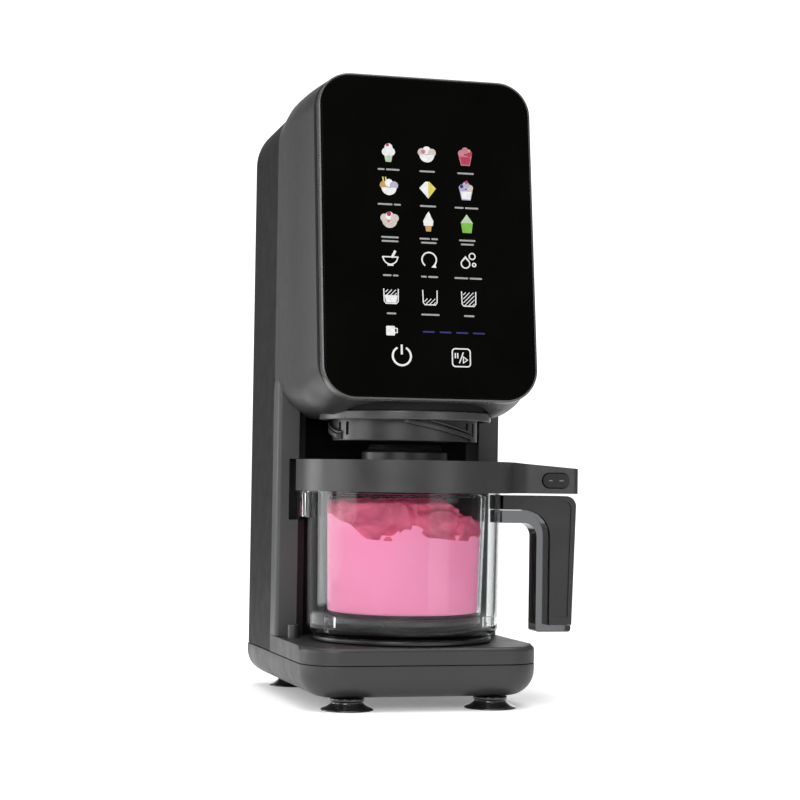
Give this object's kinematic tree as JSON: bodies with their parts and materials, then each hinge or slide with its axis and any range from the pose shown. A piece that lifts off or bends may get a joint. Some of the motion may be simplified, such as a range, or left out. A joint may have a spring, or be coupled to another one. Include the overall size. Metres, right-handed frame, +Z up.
{
  "type": "ice cream maker",
  "caption": "Tall countertop frozen-dessert maker: a case with a leaning touch panel over a bay, where a clear lidded jug with a side handle stands on a lifting turntable.",
  "frame": {"origin": "on the standing surface, under the middle of the bounding box of the whole machine with the jug docked and its handle to the side", "axes": "+Z up, -Y toward the user and the control panel, +X toward the jug handle"},
  "size_m": [0.1974, 0.207, 0.4099],
  "materials": {
    "charcoal_case": "fine satin charcoal moulding",
    "charcoal_trim": "satin charcoal moulding",
    "black_plastic": "matt black",
    "black_glass": "polished black front glass",
    "clear_plastic": null,
    "steel": "bright steel",
    "cast_alloy": "plain alloy",
    "gear_plastic": "acetal",
    "bronze": "bearing bronze",
    "board": "circuit board",
    "foot_rubber": "glossy soft rubber",
    "dessert": null
  },
  "bodies": {
    "housing": {"base_pan": "charcoal_case", "base_deck": "charcoal_case", "column_front": "charcoal_case", "bay_liner": "black_plastic", "rear_shell": "charcoal_case", "head_shell": "charcoal_case", "panel_bezel": "charcoal_trim", "control_panel": "black_glass", "display_board": "board", "collar_trim": "charcoal_trim", "lock_collar": "charcoal_trim", "chassis_plate": "steel", "guide_rod_left": "steel", "guide_rod_right": "steel", "top_bridge": "cast_alloy", "feed_motor": "steel", "control_board": "board", "cord_gland": "black_plastic", "foot_1": "foot_rubber", "foot_2": "foot_rubber", "foot_3": "foot_rubber", "foot_4": "foot_rubber", "interlock_switch": "black_plastic", "interlock_spring": "steel"},
    "drive_carriage": {"carriage_plate": "cast_alloy", "main_motor": "steel", "feed_nut": "bronze"},
    "spindle": {"spindle_shaft": "steel", "spindle_gear": "gear_plastic"},
    "motor_rotor": {"motor_pinion": "gear_plastic", "motor_shaft": "steel"},
    "feed_screw_body": {"feed_screw": "steel"},
    "platform": {"lift_platform": "black_plastic"},
    "table": {"turntable": "black_plastic"},
    "hub": {"lid_hub": "charcoal_trim"},
    "jug": {"outer_jug": "clear_plastic", "tub_seat": "black_plastic", "inner_tub": "clear_plastic", "ice_cream": "dessert", "lid": "charcoal_trim", "lid_plate": "charcoal_trim", "lid_seal": "foot_rubber", "jug_handle": "clear_plastic", "handle_cover": "charcoal_trim"},
    "sleeve": {"drive_sleeve": "steel"},
    "blade": {"blade_shaft": "steel", "blade_paddle": "steel"},
    "button": {"release_button": "charcoal_trim"},
    "interlock": {"interlock_pin": "charcoal_trim"}
  },
  "joints": [
    {"name": "spindle_feed", "type": "slide", "parent": "housing", "child": "drive_carriage", "axis": [0, 0, -1], "range_m": [0, 0.06]},
    {"name": "spindle_spin", "type": "hinge", "parent": "drive_carriage", "child": "spindle", "pos_m": [-0.02035, -0.0315, 0.2], "axis": [0, 0, 1], "continuous": true},
    {"name": "rotor_spin", "type": "hinge", "parent": "drive_carriage", "child": "motor_rotor", "pos_m": [-0.02035, 0.009, 0.27], "axis": [0, 0, 1], "continuous": true},
    {"name": "screw_turn", "type": "hinge", "parent": "housing", "child": "feed_screw_body", "pos_m": [-0.02035, 0.0605, 0.2], "axis": [0, 0, 1], "range_deg": [0, 1080]},
    {"name": "platform_lift", "type": "slide", "parent": "housing", "child": "platform", "axis": [0, 0, 1], "range_m": [0, 0.018]},
    {"name": "table_turn", "type": "hinge", "parent": "platform", "child": "table", "pos_m": [-0.02035, -0.0315, 0.04], "axis": [0, 0, 1], "range_deg": [-90, 0]},
    {"name": "jug_pull_out", "type": "slide", "parent": "platform", "child": "hub", "axis": [0, -1, 0], "range_m": [0, 0.2]},
    {"name": "jug_turn", "type": "hinge", "parent": "hub", "child": "jug", "pos_m": [-0.02035, -0.0315, 0.155], "axis": [0, 0, 1], "range_deg": [-90, 0]},
    {"name": "sleeve_spin", "type": "hinge", "parent": "hub", "child": "sleeve", "pos_m": [-0.02035, -0.0315, 0.16], "axis": [0, 0, 1], "continuous": true},
    {"name": "blade_feed", "type": "slide", "parent": "sleeve", "child": "blade", "axis": [0, 0, -1], "range_m": [0, 0.06], "deforming": ["ice_cream"]},
    {"name": "button_press", "type": "slide", "parent": "jug", "child": "button", "axis": [0, 1, 0], "range_m": [0, 0.003], "stiffness_N_per_m": 300, "springref_m": -0.001},
    {"name": "interlock_press", "type": "slide", "parent": "housing", "child": "interlock", "axis": [0, 0, -1], "range_m": [0, 0.005], "stiffness_N_per_m": 250, "springref_m": -0.001, "deforming": ["interlock_spring"]}
  ],
  "couplings": [
    {"joint": "rotor_spin", "follows": "spindle_spin", "ratio": -2.8571},
    {"joint": "screw_turn", "follows": "spindle_feed", "rad_per_m": 314.16},
    {"joint": "platform_lift", "follows": "jug_turn", "m_per_rad": -0.011459},
    {"joint": "table_turn", "follows": "jug_turn", "ratio": 1},
    {"joint": "sleeve_spin", "follows": "spindle_spin", "ratio": 1},
    {"joint": "blade_feed", "follows": "spindle_feed", "ratio": 1}
  ]
}
